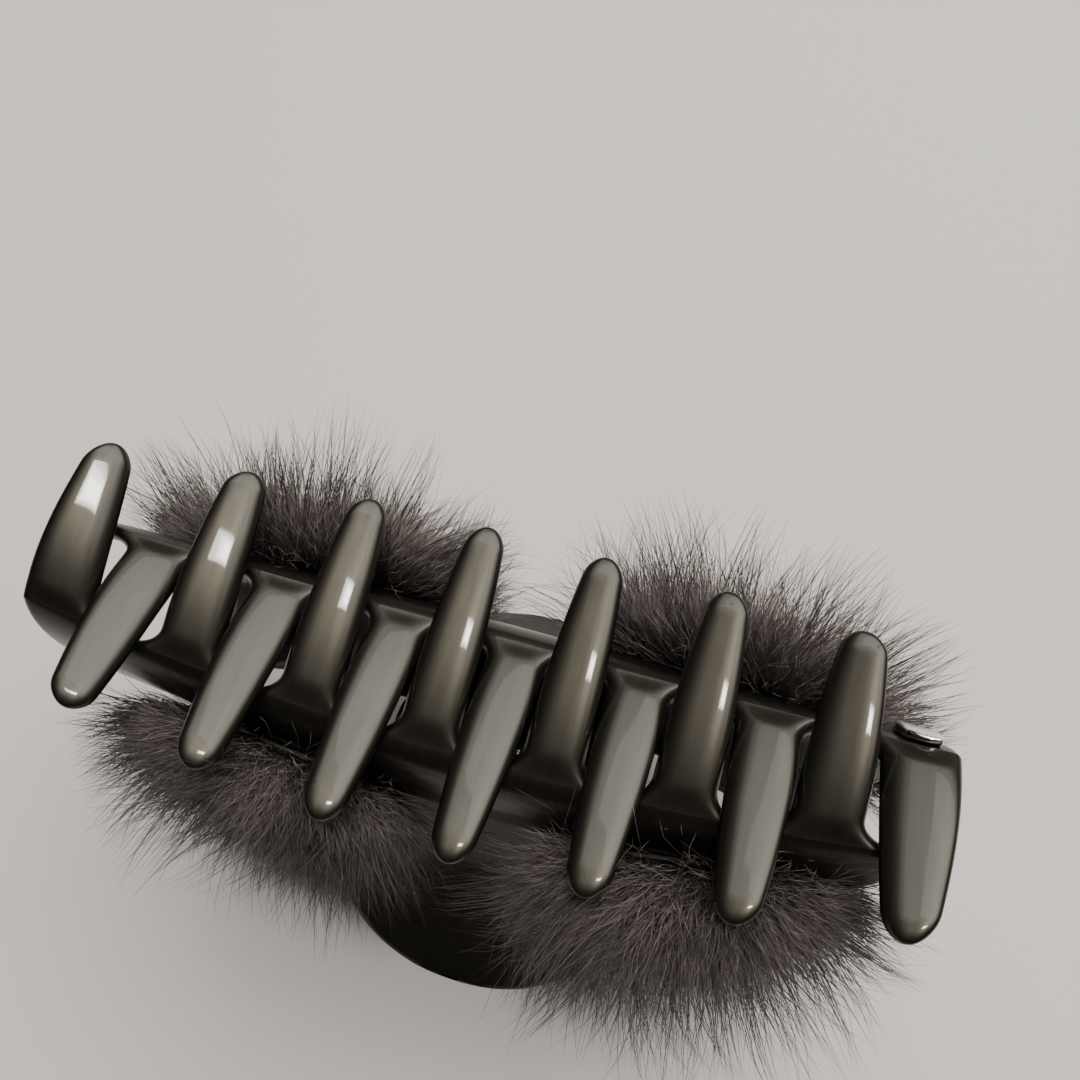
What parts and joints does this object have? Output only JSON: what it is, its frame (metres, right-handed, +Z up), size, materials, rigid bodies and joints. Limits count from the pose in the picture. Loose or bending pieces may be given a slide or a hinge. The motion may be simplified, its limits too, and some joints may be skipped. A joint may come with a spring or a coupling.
{
  "type": "claw clip",
  "caption": "Large pearl-grey plastic claw clip with interlocking curved teeth, two broad thumb tabs, a sprung hinge and four mink-like fur pads on the outside of its jaws.",
  "frame": {"origin": "under the middle of the clip, on the surface that its two thumb tabs rest on", "axes": "+X along the clip, +Y towards the far jaw (the one that turns), +Z up through the teeth; the clip lies on its back"},
  "size_m": [0.1104, 0.0638, 0.0732],
  "materials": {
    "pearl_plastic": "glossy pearlescent",
    "steel_pin": "polished",
    "spring_steel": "satin",
    "hide": "matte",
    "fur": "soft fur",
    "plaque_metal": "polished"
  },
  "bodies": {
    "near_jaw_body": {"near_jaw": "pearl_plastic", "hinge_pin": "steel_pin", "torsion_spring": "spring_steel", "near_left_hide": "hide", "near_right_hide": "hide", "near_left_pile": "fur", "near_right_pile": "fur"},
    "far_jaw_body": {"far_jaw": "pearl_plastic", "far_left_hide": "hide", "far_right_hide": "hide", "far_left_pile": "fur", "far_right_pile": "fur", "metal_plaque": "plaque_metal"}
  },
  "joints": [
    {"name": "jaw_hinge", "type": "hinge", "parent": "near_jaw_body", "child": "far_jaw_body", "pos_m": [0, 0, 0.03], "axis": [-1, 0, 0], "range_deg": [0, 75], "stiffness_Nm_per_rad": 0.12, "springref_deg": -40.11, "deforming": ["torsion_spring"]}
  ]
}
